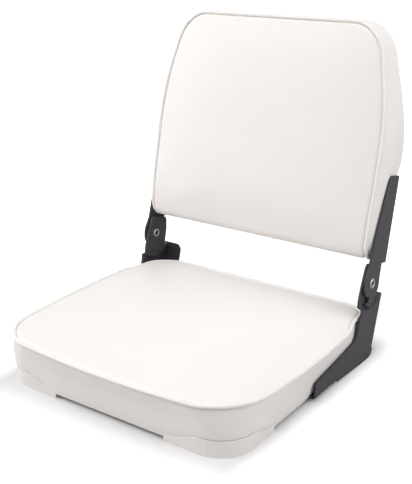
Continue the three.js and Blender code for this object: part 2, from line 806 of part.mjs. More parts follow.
// The seat bracket: a forward arm beside the cushion, an upright with a joggled ear, a flange
// under the pan, a flange behind it, and the stop pressed out of the ear
function seatBracket() {
  const tuck = bendRadius + plateThickness / 2;
  const flangeStartZ = rearFlangeFootZ + overrun;
  const lower = filleted([
    [heelRunY, heelHeight, heelRadius],
    [heelY, heelHeight, heelRadius],
    [uprightRearAt(flangeStartZ), flangeStartZ],
    [uprightRearAt(flangeStartZ) - tuck, flangeStartZ],
    [uprightRearAt(uprightTopZ) - tuck, uprightTopZ],
    [uprightFrontAt(uprightTopZ), uprightTopZ],
    [elbowY, elbowZ, elbowRadius],
    [forwardArmFrontY, forwardArmFrontTop, bracketCornerRadius],
    [bottomFlangeFrontY, bottomFlangeZ + tuck],
    [bottomFlangeRearY, bottomFlangeZ + tuck],
    [bottomFlangeRearY, bottomFlangeZ, plateThickness / 2],
  ]);
  const earFootZ = uprightTopZ - joggleRadius;
  const ear = filleted([
    [uprightFrontAt(earFootZ), earFootZ],
    [uprightRearAt(earFootZ) - tuck, earFootZ],
    [pivotY + earRearReach - earRearTaper, uprightTopZ],
    [pivotY + earRearReach, pivotZ, earRearReach / 2],
    [pivotY + earRearReach, pivotZ + earTopHeight - earTopFall, earCornerRadius],
    [pivotY - earTopFront, pivotZ + earTopHeight, earCornerRadius],
    [pivotY - earFrontReach, pivotZ, earFrontReach],
    [pivotY - earBulge, pivotZ - earBulgeDrop, elbowRadius],
    [uprightFrontAt(uprightTopZ - earBulgeDrop), uprightTopZ - earBulgeDrop],
  ]);
  const inset = bracketInnerX - earOuterX;
  const slope = joggleSlope / (earOuterX - earInnerX + inset);
  const bayAt = (x, radius) => radius + (x - earOuterX) * slope;
  const outerPocket = taperedBay(
    earOuterX, joggleRadius, bracketOuterX + overrun, bayAt(bracketOuterX + overrun, joggleRadius),
  );
  const wallRadius = joggleRadius + plateThickness;
  const innerKeep = taperedBay(
    earInnerX - overrun, bayAt(earInnerX - overrun, wallRadius),
    bracketInnerX, bayAt(bracketInnerX, wallRadius),
  );
  const innerPocket = block(
    [earInnerX - overrun, -seatDepth, -seatDepth], [bracketInnerX, seatDepth, seatDepth],
  ).subtract(innerKeep);
  const pressed = plateX(lower, earInnerX, bracketOuterX)
    .add(plateX(ear, earInnerX, bracketOuterX))
    .subtract(innerPocket);

  const bottomFrame = new THREE.Matrix4().makeBasis(
    new THREE.Vector3(1, 0, 0), new THREE.Vector3(0, 0, -1), new THREE.Vector3(0, 1, 0),
  ).setPosition(0, 0, bottomFlangeZ);
  const rearFlangeDrop = (uprightTopZ - rearFlangeFootZ) / Math.cos(uprightLean);
  const flanges = [
    bentFlange(bracketOuterX, -rearFlangeDrop, 0, flangeFrame),
    bentFlange(bracketOuterX, bottomFlangeFrontY, bottomFlangeRearY, bottomFrame),
  ];
  const holes = [
    rod(rivetShankRadius + pivotHoleClearance, [earInnerX - overrun, pivotY, pivotZ], flangeWidth, 'x'),
    ...seatScrewPlaces().filter(({ x }) => x > 0).map(({ x, y }) => (
      rod(screwRadius + screwHoleClearance, [x, y, 0], bottomFlangeTop + overrun, 'z'))),
    rod(
      screwRadius + screwHoleClearance,
      [bracketOuterX - flangeScrewInset, -plateThickness - overrun, -rearScrewDrop],
      plateThickness + 2 * overrun, 'y', flangeFrame,
    ),
  ];
  const folded = cutAll(joinAll([pressed, ...flanges]).subtract(outerPocket), holes);

  const { y: stopY, z: stopZ } = stopPlace();
  const button = rod(
    stopRadius, [earOuterX - plateThickness / 2, stopY, stopZ],
    plateThickness / 2 + hingeGap + plateThickness - faceClearance, 'x',
  );
  const dimple = rod(stopDimpleRadius, [earInnerX - overrun, stopY, stopZ], overrun + stopDimpleDepth, 'x');
  return folded.add(button).subtract(dimple);
}

// The stop lies against the front flank of the claw when the seat is open
function stopPlace() {
  const across = -(clawFlankSetback + stopRadius + softClearance);
  const down = -Math.sqrt(stopReach ** 2 - across ** 2);
  return {
    y: pivotY + across * Math.cos(leanAngle) + down * Math.sin(leanAngle),
    z: pivotZ - across * Math.sin(leanAngle) + down * Math.cos(leanAngle),
  };
}

// The back bracket: a plate beside the backrest, a flange behind it, and a flat arm that ends
// in a round lobe, a notch and a claw
function backBracket() {
  const tuck = bendRadius + plateThickness / 2;
  const plateRear = backFlangeY + plateThickness - pivotSetback;
  const from = ([across, up, radius]) => [pivotSetback + across, up - pivotDrop, radius];
  const lobeStart = Math.PI;
  const lobeEnd = Math.PI + Math.asin(clawNotchDrop / lobeRadius);
  const lobe = arcPoints(0, 0, lobeRadius, lobeEnd, lobeStart).map(({ x, y }) => [x, y]);
  const outline = filleted([
    [plateTopReach, plateTopHeight, plateTopRadius],
    [-plateWaistSetback, plateWaistHeight, plateWaistHeight],
    [-armNeckSetback, armNeckHeight, bracketCornerRadius],
    [-armFrontReach, armShoulderHeight, armShoulderHeight],
    [-armFrontReach, 0],
    ...lobe.reverse(),
    [-clawFlankSetback, -clawNotchDrop, plateThickness / 2],
    [-clawFlankSetback, clawTipRadius - clawReach, plateThickness],
    [clawTipRadius * 2, -clawReach, clawTipRadius],
    [armRearReach + plateThickness / 2, -clawHeelDrop, armRearReach / 2],
    [armRearReach, armRearReach / 2],
    [armRearReach, armStepHeight, plateThickness / 2],
    [plateRear - tuck, armStepHeight],
    [plateRear - tuck, plateTopHeight],
  ].map(from));
  const flangeFrameBack = new THREE.Matrix4().makeTranslation(0, backFlangeY + plateThickness, 0);
  const flange = bentFlange(
    armOuterX, armStepHeight - pivotDrop, plateTopHeight - pivotDrop, flangeFrameBack,
  );
  const holes = [
    rod(
      rivetShankRadius + pivotHoleClearance,
      [armInnerX - overrun, pivotSetback, -pivotDrop], flangeWidth, 'x',
    ),
    ...backScrewPlaces().filter(({ x }) => x > 0).map(({ x, z }) => (
      rod(screwRadius + screwHoleClearance, [x, backThickness - overrun, z], 4 * overrun, 'y'))),
  ];
  return cutAll(plateX(outline, armInnerX, armOuterX).add(flange), holes);
}

// Round pieces, turned about +Z and then laid along their axis
function turned(profile, sides) {
  const points = profile.map(([radius, height]) => new THREE.Vector2(radius, height));
  const closed = profile[0][0] > 0 ? [...points, points[0].clone()] : points;
  return geometryOf(solidOf(new THREE.LatheGeometry(closed, sides).rotateX(Math.PI / 2)));
}

// A tubular rivet: a plain head outside, a rolled rim inside, and a bore right through
function hingeRivet() {
  const outerSeat = armOuterX + faceClearance;
  const innerSeat = earInnerX - faceClearance;
  const round = rivetHeadHeight / 2;
  const profile = [
    [rivetBore, innerSeat - rivetHeadHeight],
    [rivetInnerHeadRadius - round, innerSeat - rivetHeadHeight],
    [rivetInnerHeadRadius, innerSeat - round],
    [rivetInnerHeadRadius, innerSeat],
    [rivetShankRadius, innerSeat],
    [rivetShankRadius, outerSeat],
    [rivetOuterHeadRadius, outerSeat],
    [rivetOuterHeadRadius, outerSeat + round],
    [rivetOuterHeadRadius - round, outerSeat + rivetHeadHeight],
    [rivetBore + round, outerSeat + rivetHeadHeight],
    [rivetBore, outerSeat + round],
  ];
  return turned(profile, roundSides).rotateY(Math.PI / 2).translate(0, pivotY, pivotZ);
}

function hingeWasher() {
  const near = earOuterX + faceClearance;
  const hole = rivetShankRadius + pivotHoleClearance;
  const profile = [
    [hole, near], [washerRadius, near], [washerRadius, near + washerThickness], [hole, near + washerThickness],
  ];
  return turned(profile, roundSides).rotateY(Math.PI / 2).translate(0, pivotY, pivotZ);
}

// A pan-head machine screw with its seat at z = 0 and its shank along -Z
function screw() {
  const chamfer = screwRadius / 4;
  return turned([
    [0, -screwLength],
    [screwRadius - chamfer, -screwLength],
    [screwRadius, chamfer - screwLength],
    [screwRadius, 0],
    [screwHeadRadius, 0],
    [screwHeadRadius, screwHeadHeight / 2],
    [screwHeadRadius * 0.6, screwHeadHeight],
    [0, screwHeadHeight],
  ], screwSides);
}

// A threaded insert with its mouth at z = 0
function insert() {
  const bore = screwRadius + screwHoleClearance;
  return turned([
    [bore, -insertLength], [insertRadius, -insertLength], [insertRadius, 0], [bore, 0],
  ], screwSides);
}

// The mirror image of a piece, for the left side
function mirrored(geometry) {
  const copy = geometry.clone().applyMatrix4(new THREE.Matrix4().makeScale(-1, 1, 1));
  copy.setIndex(Array.from(copy.index.array).reverse());
  return copy;
}

function named(name, geometry, material) {
  geometry.computeVertexNormals();
  const mesh = new THREE.Mesh(geometry, material);
  mesh.name = name;
  return mesh;
}

function pair(name, geometry, material) {
  return [named(`${name}_right`, geometry, material), named(`${name}_left`, mirrored(geometry), material)];
}

const seat = new THREE.Group();
seat.add(
  named('seat_pan', seatPan(), whitePlastic),
  named('seat_foam', seatFoam(), foam),
  named('seat_top_panel', seatTopPanel(), vinyl),
  named('seat_boxing', seatBoxing(), vinyl),
  named('seat_piping', seatPiping(), vinyl),
  ...pair('seat_bracket', geometryOf(seatBracket()), charcoalSteel),
  ...pair('hinge_rivet', hingeRivet(), brightSteel),
  ...pair('hinge_washer', hingeWasher(), nylon),
);

for (const { name, x, y } of seatScrewPlaces()) {
  const fastener = named(`pan_screw_${name}`, screw(), brightSteel);
  fastener.rotation.x = Math.PI;
  fastener.position.set(x, y, bottomFlangeZ - faceClearance);
  const nut = named(`pan_insert_${name}`, insert(), brass);
  nut.position.set(x, y, bottomFlangeTop + softClearance + insertLength + softClearance);
  seat.add(fastener, nut);
}

for (const { name, x, y } of pedestalPlaces()) {
  const nut = named(`pedestal_insert_${name}`, insert(), brass);
  nut.position.set(x, y, softClearance + insertLength);
  seat.add(nut);
}

// The rear flange's screws lie square to it
const behindPan = new THREE.Group();
behindPan.applyMatrix4(flangeFrame);
for (const side of [1, -1]) {
  const label = side > 0 ? 'right' : 'left';
  const x = side * (bracketOuterX - flangeScrewInset);
  const fastener = named(`rear_flange_screw_${label}`, screw(), brightSteel);
  fastener.rotation.x = -Math.PI / 2;
  fastener.position.set(x, faceClearance, -rearScrewDrop);
  const nut = named(`rear_flange_insert_${label}`, insert(), brass);
  nut.rotation.x = -Math.PI / 2;
  nut.position.set(x, -plateThickness - 2 * softClearance, -rearScrewDrop);
  behindPan.add(fastener, nut);
}

const backrest = new THREE.Group();
backrest.position.set(0, backSeamY, backSeamZ);
backrest.rotation.x = -leanAngle;
backrest.add(
  named('back_board', backBoard(), plywood),
  named('back_foam', backFoam(), foam),
  named('back_front_panel', backFrontPanel(), vinyl),
  named('back_rear_cover', backRearCover(), vinyl),
  named('back_piping', backPiping(), vinyl),
  ...pair('back_bracket', geometryOf(backBracket()), charcoalSteel),
);
for (const { name, x, z } of backScrewPlaces()) {
  const fastener = named(`back_screw_${name}`, screw(), brightSteel);
  fastener.rotation.x = -Math.PI / 2;
  fastener.position.set(x, backFlangeY + plateThickness + faceClearance, z);
  const nut = named(`back_insert_${name}`, insert(), brass);
  nut.rotation.x = -Math.PI / 2;
  nut.position.set(x, boardRearY - softClearance, z);
  backrest.add(fastener, nut);
}

const boatSeat = new THREE.Group();
boatSeat.add(seat, behindPan, backrest);

export default boatSeat;
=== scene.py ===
"""A low folding boat seat: white vinyl cushions with welt cord, charcoal folding hinges."""

import json
import math

import bmesh
import bpy
import numpy as np
from mathutils import Matrix, Vector, noise


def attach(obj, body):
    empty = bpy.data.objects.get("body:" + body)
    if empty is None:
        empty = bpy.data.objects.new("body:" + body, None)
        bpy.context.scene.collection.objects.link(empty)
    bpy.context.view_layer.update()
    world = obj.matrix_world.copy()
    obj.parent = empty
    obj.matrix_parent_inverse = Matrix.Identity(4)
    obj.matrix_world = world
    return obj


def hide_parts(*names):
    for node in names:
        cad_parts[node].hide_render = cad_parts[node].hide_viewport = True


# Metres in a millimetre, and the steps that an outline has per corner and per side
MM = 0.001
CORNER_STEPS = 16
SIDE_STEPS = 22

# Seat cushion, in millimetres; radii run from the right rear corner round by the left
BRACKET_INNER = 196.3
SEAT_FRONT_HALF = 192.2
SEAT_REAR_HALF = 193.2
SEAT_HALF_DEPTH = 183.5
SEAT_REAR_EASE = 3
SEAT_RADII = (38, 58, 53, 60)
SEAT_FRONT_BOW = 15.5
SEAT_SIDE_BOWS = (13.3, 15)
SEAM_HEIGHT = 68
SEAM_RISE = 3.8
SEAT_CROWN = 6.5

# The cushion's side band: its line at the foot, its knee, and its climb over the shoes
COVER_HALF = 191
COVER_RADII = (18, 18, 43, 47)
COVER_FRONT = -182.5
COVER_REAR = 179.3
COVER_FOOT = 6
KNEE_HEIGHT = 42
KNEE_SHARE = 0.25
SHOE_X = 90.7
SHOE_Y = 84
SHOE_HEIGHT = 24
SHOE_RISE = 50
COVER_CLEARANCE = 0.4
COVER_BULGE = 0.55
COVER_PUFF = 1.1
HEM_CURL = 0.8
SEAM_TUCK = 2.4

# Welt cord, and how the seat's cord is squeezed in between the uprights
WELT_RADIUS = 2.8
WELT_SIDES = 12
WELT_SETBACK = 1.5
WELT_OVERHANG = 1.2
SEAM_INSET = 3.6
WELT_CLEARANCE = 0.7
WELT_EASE = 9
SQUEEZE_LEAD = 8

# A panel rolls down beside its seam
ROLLED_WIDTH = 5
ROLLED_RISE = 4.4
ROLLED_SINK = 2

# Backrest cushion: v runs up its seam plane, w to the rear
BACK_LEAN = math.radians(12.1)
BACK_SEAM_Y = 153.8
BACK_SEAM_Z = 160
BACK_HEIGHT = 324
BACK_HALF = 192.2
BACK_SWELL = 5
BACK_SIDE_SWELL = (6.8, -2.5)
BACK_WIDEST = 147
BACK_TOP_NARROWING = 34
BACK_FOOT_NARROWING = 2.5
BACK_RADII = (41, 38, 9, 9)
BACK_CROWN = 6
BACK_THICKNESS = 62.5
BACK_REAR_RADIUS = 8
REAR_BULGE = 3.2
REAR_CROWN = 1.4
REAR_OVERLAP = 9

# The foot of the front panel leans back slowly, then rolls under
ROLL_START = 52
ROLL_LEAN = math.radians(15)
ROLL_LENGTH = 43.1
ROLL_RADIUS = 14
ROLL_END = math.radians(126)

# The backrest bracket's plate, seen from the side
ARM_INNER = 195.3
PLATE_TOP = 117.9
PLATE_WAIST = (26.9, 10.8)
PLATE_CORNER = 30.3
PLATE_CLEARANCE = 0.3
PLATE_HOLD = 9

# Seat bracket, seen from the side, and its flange under the pan
UPRIGHT_LEAN = math.radians(16.3)
UPRIGHT_FRONT_LEAN = math.radians(25.5)
UPRIGHT_REAR_Y = 208.3
UPRIGHT_TOP_Z = 91.5
ELBOW_Y = 125.5
ELBOW_Z = 45
ARM_FRONT_Y = 8
ARM_FRONT_Z = 28.3
FLANGE_Y = (8.5, 71.5)
FLANGE_TOP = 7.5
FLANGE_REACH = 30
FLANGE_EASE = (2, 8)

# Rivets, and where the screws' heads sit
PIVOT_Y = 169.29
PIVOT_Z = 118.74
RIVET_OUTER = 198.4
RIVET_INNER = 190.2
RIVET_SHANK = 5.0
SCREW_SIDES = 28
SEAT_SCREW_X = 172.8
SEAT_SCREW_Z = 13
BACK_SCREW_X = 171.8
BACK_SCREW_DEPTH = 65.9
BACK_SCREW_HEIGHTS = {"lower": 22, "upper": 96}
PAN_SCREW_X = 181.3
PAN_SCREW_Z = 4.4
PAN_SCREW_Y = {"front": 24.25, "rear": 55.75}


def smooth_step(value, low, high):
    """A smooth ramp from 0 at low to 1 at high."""
    share = min(1, max(0, (value - low) / (high - low)))
    return share * share * (3 - 2 * share)


def soft_min(first, second, reach):
    """The lesser of two values, rounded off where they come within reach of each other."""
    near = max(0, reach - abs(first - second)) / reach
    return min(first, second) - near * near * reach / 4


# Outlines and heights of the two cushions


def rounded_rectangle(half, low, high, radii):
    """A closed outline from the right rear corner round by the left, as [x, y]."""
    arcs = []
    signs = [(1, 1), (-1, 1), (-1, -1), (1, -1)]
    for quarter, ((to_right, to_rear), radius) in enumerate(zip(signs, radii)):
        x = to_right * (half - radius)
        y = high - radius if to_rear > 0 else low + radius
        angles = [(quarter + i / CORNER_STEPS) * math.pi / 2 for i in range(CORNER_STEPS + 1)]
        arcs.append([(x + radius * math.cos(a), y + radius * math.sin(a)) for a in angles])
    points = []
    for arc, following in zip(arcs, arcs[1:] + arcs[:1]):
        (x0, y0), (x1, y1) = arc[-1], following[0]
        points += arc
        for i in range(1, SIDE_STEPS):
            points.append((x0 + (x1 - x0) * i / SIDE_STEPS, y0 + (y1 - y0) * i / SIDE_STEPS))
    return points


def upright_front(z):
    """Where the front edge of the seat bracket's upright lies at a height."""
    return ELBOW_Y + (z - ELBOW_Z) * math.tan(UPRIGHT_FRONT_LEAN)


def beside_bracket(y, z):
    """How far a point beside the seat lies from the bracket, in its side view."""
    arm_top = ARM_FRONT_Z + (y - ARM_FRONT_Y) * (ELBOW_Z - ARM_FRONT_Z) / (ELBOW_Y - ARM_FRONT_Y)
    from_arm = math.hypot(max(0, ARM_FRONT_Y - y), max(0, z - arm_top))
    from_upright = max(0, upright_front(z) - y) * math.cos(UPRIGHT_FRONT_LEAN)
    return min(from_arm, from_upright)


def held_in(x, y, z):
    """The cover is pressed in by the brackets and swells out over their edges."""
    widest = BRACKET_INNER - COVER_CLEARANCE + COVER_BULGE * beside_bracket(y, z)
    return math.copysign(min(abs(x), widest), x)


def seat_outline(inset=0.0):
    """The seat's seam line: bowed at the front and the sides, narrow between the uprights."""
    half = SEAT_FRONT_HALF - inset
    ring = []
    for x, y in rounded_rectangle(
        half,
        inset - SEAT_HALF_DEPTH,
        SEAT_HALF_DEPTH - SEAT_REAR_EASE - inset,
        [radius - inset for radius in SEAT_RADII],
    ):
        along = (y + SEAT_HALF_DEPTH) / (2 * SEAT_HALF_DEPTH)
        across = abs(x) / half
        bow = SEAT_SIDE_BOWS[x > 0] * (1 - (2 * along - 1) ** 2)
        wide = abs(x) + across * (bow - (SEAT_FRONT_HALF - SEAT_REAR_HALF) * along)
        widest = BRACKET_INNER - WELT_RADIUS - WELT_CLEARANCE - inset
        widest += max(0, upright_front(SEAM_HEIGHT) - SQUEEZE_LEAD - y) / 2
        front = max(0, -y / SEAT_HALF_DEPTH) * SEAT_FRONT_BOW * (1 - across**2)
        ring.append((math.copysign(soft_min(wide, widest, WELT_EASE), x), y - front))
    return ring


def cover_outline(inset=0.0):
    """The side band's line at its lower edge."""
    return rounded_rectangle(
        COVER_HALF - inset,
        COVER_FRONT + inset,
        COVER_REAR - inset,
        [radius - inset for radius in COVER_RADII],
    )


def seam_height(y):
    """Height of the seat's seam, which rises a little to the rear."""
    return SEAM_HEIGHT + SEAM_RISE * y / (2 * SEAT_HALF_DEPTH)


def cover_edge(x, y):
    """Height of the cover's lower edge: over the shoes, and over the bracket's flanges."""
    shoe = smooth_step(min((abs(x) - SHOE_X) / SHOE_RISE, (-y - SHOE_Y) / SHOE_RISE), 0, 1)
    height = COVER_FOOT + (SHOE_HEIGHT - COVER_FOOT) * shoe
    (front, rear), (near, far) = FLANGE_Y, FLANGE_EASE
    beside = smooth_step(y, front - far, front - near)
    beside *= 1 - smooth_step(y, rear + near, rear + far)
    if abs(x) > COVER_HALF - FLANGE_REACH:
        height = max(height, COVER_FOOT + (FLANGE_TOP + 1 - COVER_FOOT) * beside)
    return height


def lean_share(z, seam):
    """How far the side band has leaned from its lower edge to the seam, with a knee."""
    if z < KNEE_HEIGHT:
        return KNEE_SHARE * max(0, (z - COVER_FOOT) / (KNEE_HEIGHT - COVER_FOOT))
    return KNEE_SHARE + (1 - KNEE_SHARE) * (z - KNEE_HEIGHT) / (seam - KNEE_HEIGHT)


def back_outline(inset=0.0, low=0.0):
    """Outline of the backrest; low is where its foot lies."""
    ring = []
    for x, v in rounded_rectangle(
        BACK_HALF - inset,
        low + inset,
        BACK_HEIGHT - inset,
        [radius - inset for radius in BACK_RADII],
    ):
        above = max(0, (v - BACK_WIDEST) / (BACK_HEIGHT - BACK_WIDEST))
        below = min(1, max(0, (BACK_WIDEST - v) / BACK_WIDEST))
        narrowing = BACK_TOP_NARROWING * above**2 + BACK_FOOT_NARROWING * below**2
        ring.append((x * (1 - narrowing / BACK_HALF), v))
    return ring


def panel_outline(inset=0.0):
    """Outline of the front panel laid flat, with the part that is rolled under the foot."""
    under = ROLL_RADIUS * (ROLL_END - ROLL_LEAN)
    return back_outline(inset, ROLL_START - ROLL_LENGTH - under)


def rolled_under(v, out):
    """A height up the flat panel and a distance out of it, as w and v of the rolled panel."""
    wide = ROLL_LENGTH / ROLL_LEAN
    angle = min(ROLL_LEAN, max(0, ROLL_START - v) / wide)
    w = wide * (1 - math.cos(angle))
    rise = v if v > ROLL_START else ROLL_START - wide * math.sin(angle)
    tight = max(0, ROLL_START - ROLL_LENGTH - v) / ROLL_RADIUS
    w += ROLL_RADIUS * (math.cos(angle) - math.cos(angle + tight))
    rise -= ROLL_RADIUS * (math.sin(angle + tight) - math.sin(angle))
    angle += tight
    return w - out * math.cos(angle), rise - out * math.sin(angle)


def beside_plate(x, w, v):
    """The side of the backrest lies against the bracket's plate and swells out round it."""
    low_v, low_w = PLATE_WAIST
    front = low_w + (v - low_v) * (PLATE_CORNER - low_w) / (PLATE_TOP - low_v)
    inside = smooth_step(w, front - PLATE_HOLD, front + 1)
    inside *= 1 - smooth_step(v, PLATE_TOP - 3, PLATE_TOP + 10)
    held = ARM_INNER - PLATE_CLEARANCE
    if abs(x) > held - PLATE_HOLD:
        x = math.copysign(abs(x) + (held - abs(x)) * inside, x)
    return x


def back_place(x, w, v):
    """A point of the upright backrest, leaned back to where it stands."""
    y = BACK_SEAM_Y + w * math.cos(BACK_LEAN) + v * math.sin(BACK_LEAN)
    z = BACK_SEAM_Z - w * math.sin(BACK_LEAN) + v * math.cos(BACK_LEAN)
    return (x, y, z)


# Meshes


def piece_of(name, points, faces, finish, body):
    """A smooth piece from points in millimetres, riding on a body."""
    mesh = bpy.data.meshes.new(name)
    mesh.from_pydata([Vector(p) * MM for p in points], [], faces)
    builder = bmesh.new()
    builder.from_mesh(mesh)
    bmesh.ops.recalc_face_normals(builder, faces=builder.faces)
    builder.to_mesh(mesh)
    builder.free()
    mesh.shade_smooth()
    mesh.materials.append(finish.material)
    piece = bpy.data.objects.new(name, mesh)
    bpy.context.collection.objects.link(piece)
    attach(piece, body)
    return piece


def refine(piece):
    """Rounds a piece by one level of subdivision."""
    rounder = piece.modifiers.new("rounder", "SUBSURF")
    rounder.levels = 1
    rounder.render_levels = 1


def evenly(points, count):
    """The same open line through count + 1 points at even distances."""
    lengths = [0.0]
    for a, b in zip(points, points[1:]):
        lengths.append(lengths[-1] + math.dist(a, b))
    line, k = [], 0
    for i in range(count + 1):
        target = lengths[-1] * i / count
        while k < len(points) - 2 and lengths[k + 1] < target:
            k += 1
        share = (target - lengths[k]) / max(lengths[k + 1] - lengths[k], 1e-9)
        line.append(tuple(p + (q - p) * share for p, q in zip(points[k], points[k + 1])))
    return line


def quarters(outline, count):
    """The outline as four lines, each from the middle of one corner to the next."""
    step = len(outline) // 4
    middles = [step * q + CORNER_STEPS // 2 for q in range(4)]
    loop = outline + outline
    return [evenly(loop[m : m + step + 1], count) for m in middles]


def panel_grid(outline, place, rings=36):
    """A square grid laid over an outline; place gives a point from x, y and its share out."""
    parts = quarters(outline, 2 * rings)
    middle_x = sum(p[0] for p in outline) / len(outline)
    middle_y = (min(p[1] for p in outline) + max(p[1] for p in outline)) / 2
    points, faces, rim = [], [], []
    width = 2 * rings + 1
    for j in range(-rings, rings + 1):
        for i in range(-rings, rings + 1):
            k = max(abs(i), abs(j))
            if k == 0:
                points.append(place(middle_x, middle_y, 0.0))
                continue
            if j == k:
                part, u = 0, (k - i) / (2 * k)
            elif i == -k:
                part, u = 1, (k - j) / (2 * k)
            elif j == -k:
                part, u = 2, (i + k) / (2 * k)
            else:
                part, u = 3, (j + k) / (2 * k)
            at = u * 2 * rings
            first = min(int(at), 2 * rings - 1)
            (x0, y0), (x1, y1) = parts[part][first], parts[part][first + 1]
            x, y = x0 + (x1 - x0) * (at - first), y0 + (y1 - y0) * (at - first)
            share = 1 - (1 - k / rings) ** 1.5
            points.append(
                place(middle_x + (x - middle_x) * share, middle_y + (y - middle_y) * share, share)
            )
            if k == rings:
                rim.append(len(points) - 1)
    for j in range(width - 1):
        for i in range(width - 1):
            a = j * width + i
            faces.append((a, a + 1, a + width + 1, a + width))
    return points, faces, rim


def band(rings, closed=False):
    """Quads through rings of equal count."""
    count = len(rings[0])
    points = [p for ring in rings for p in ring]
    faces = []
    spans = len(rings) if closed else len(rings) - 1
    for r in range(spans):
        here, there = r * count, (r + 1) % len(rings) * count
        for i in range(count):
            j = (i + 1) % count
            faces.append((here + i, here + j, there + j, there + i))
    return points, faces


def lathe(profile, matrix, sides=40):
    """A profile of [radius, height] turned about its axis and put in place."""
    rings = []
    for radius, height in profile:
        ring = []
        for i in range(sides):
            angle = 2 * math.pi * i / sides
            at = Vector((radius * math.cos(angle), radius * math.sin(angle), height))
            ring.append(matrix @ at)
        rings.append(ring)
    return rings


def swell(piece, pins, pressure=0.5, most=3.0):
    """Fills a sewn panel with soft foam: cloth under pressure, held along its seams."""
    count = len(piece.data.vertices)
    before = np.empty(count * 3)
    piece.data.vertices.foreach_get("co", before)
    held = piece.vertex_groups.new(name="seam")
    held.add(pins, 1.0, "REPLACE")
    cloth = piece.modifiers.new("fill", "CLOTH")
    cloth.settings.use_pressure = True
    cloth.settings.uniform_pressure_force = pressure
    cloth.settings.vertex_group_mass = "seam"
    cloth.settings.effector_weights.gravity = 0
    cloth.settings.tension_stiffness = 40
    cloth.settings.compression_stiffness = 40
    cloth.settings.bending_stiffness = 8
    cloth.collision_settings.use_collision = False
    cloth.collision_settings.use_self_collision = False
    for moment in range(1, 21):
        bpy.context.scene.frame_set(moment)
    seen = piece.evaluated_get(bpy.context.evaluated_depsgraph_get())
    after = np.empty(count * 3)
    seen.data.vertices.foreach_get("co", after)
    piece.modifiers.remove(cloth)
    bpy.context.scene.frame_set(1)
    step = even_out(piece.data, (after - before).reshape(-1, 3), pins, 12)
    length = np.linalg.norm(step, axis=1, keepdims=True)
    step *= np.minimum(1, most * MM / np.maximum(length, 1e-9))
    piece.data.vertices.foreach_set("co", before + step.ravel())


def even_out(mesh, step, pins, rounds):
    """Smooths a field of moves over a mesh, so that no small creases are left in it."""
    pairs = np.empty(len(mesh.edges) * 2, dtype=int)
    mesh.edges.foreach_get("vertices", pairs)
    pairs = pairs.reshape(-1, 2)
    degree = np.bincount(pairs.ravel(), minlength=len(step))[:, None]
    for _ in range(rounds):
        total = np.zeros_like(step)
        np.add.at(total, pairs[:, 0], step[pairs[:, 1]])
        np.add.at(total, pairs[:, 1], step[pairs[:, 0]])
        step = 0.4 * step + 0.6 * total / degree
        step[pins] = 0
    return step


# Finishes


class Number:
    """A shader socket that can be used in Python sums."""

    def __init__(self, finish, socket):
        self.finish = finish
        self.socket = socket

    def math(self, operation, first, second):
        return self.finish.node("ShaderNodeMath", {"operation": operation}, {0: first, 1: second})

    def __add__(self, other):
        return self.math("ADD", self, other)

    def __radd__(self, other):
        return self.math("ADD", other, self)

    def __mul__(self, other):
        return self.math("MULTIPLY", self, other)

    def __rmul__(self, other):
        return self.math("MULTIPLY", other, self)


class Finish:
    """A surface finish. Every node comes from node(), and shader() sets plain values."""

    def __init__(self, name):
        self.material = bpy.data.materials.new(name)
        self.material.use_nodes = True
        self.tree = self.material.node_tree
        self.surface = self.tree.nodes["Principled BSDF"]
        self.at = self.node("ShaderNodeTexCoord", output="Object")

    def node(self, kind, settings=None, inputs=None, output=0):
        made = self.tree.nodes.new(kind)
        for key, value in (settings or {}).items():
            setattr(made, key, value)
        for key, value in (inputs or {}).items():
            self.put(made.inputs[key], value)
        return Number(self, made.outputs[output])

    def put(self, socket, value):
        if isinstance(value, Number):
            self.tree.links.new(value.socket, socket)
        else:
            socket.default_value = value

    def shader(self, **values):
        for name, value in values.items():
            label = name.replace("_", " ").title().replace("Ior", "IOR")
            self.put(self.surface.inputs[label], value)

    def specks(self, size, detail=2.0, roughness=0.5):
        """Noise whose grains are about size millimetres across."""
        return self.node(
            "ShaderNodeTexNoise",
            inputs={
                "Vector": self.at,
                "Scale": 1 / (size * MM),
                "Detail": detail,
                "Roughness": roughness,
            },
        )

    def cells(self, size, feature="F1"):
        return self.node(
            "ShaderNodeTexVoronoi",
            {"feature": feature},
            {"Vector": self.at, "Scale": 1 / (size * MM)},
        )

    def blend(self, share, first, second):
        return self.node(
            "ShaderNodeMix",
            {"data_type": "RGBA"},
            {0: share, 6: (*first, 1) if isinstance(first, tuple) else first, 7: (*second, 1)},
            output=2,
        )

    def vector(self, operation, first, second=(0, 0, 0), output=0):
        settings = {"operation": operation}
        return self.node("ShaderNodeVectorMath", settings, {0: first, 1: second}, output)

    def ramp(self, value, low, high, from_value, to_value):
        """A smooth ramp from one value to another."""
        return self.node(
            "ShaderNodeMapRange",
            {"interpolation_type": "SMOOTHSTEP"},
            {0: value, 1: low, 2: high, 3: from_value, 4: to_value},
        )

    def relief(self, height, depth, strength=1.0):
        """Bump of a height field whose full range is depth millimetres."""
        self.put(
            self.surface.inputs["Normal"],
            self.node(
                "ShaderNodeBump",
                inputs={"Height": height, "Distance": depth * MM, "Strength": strength},
            ),
        )


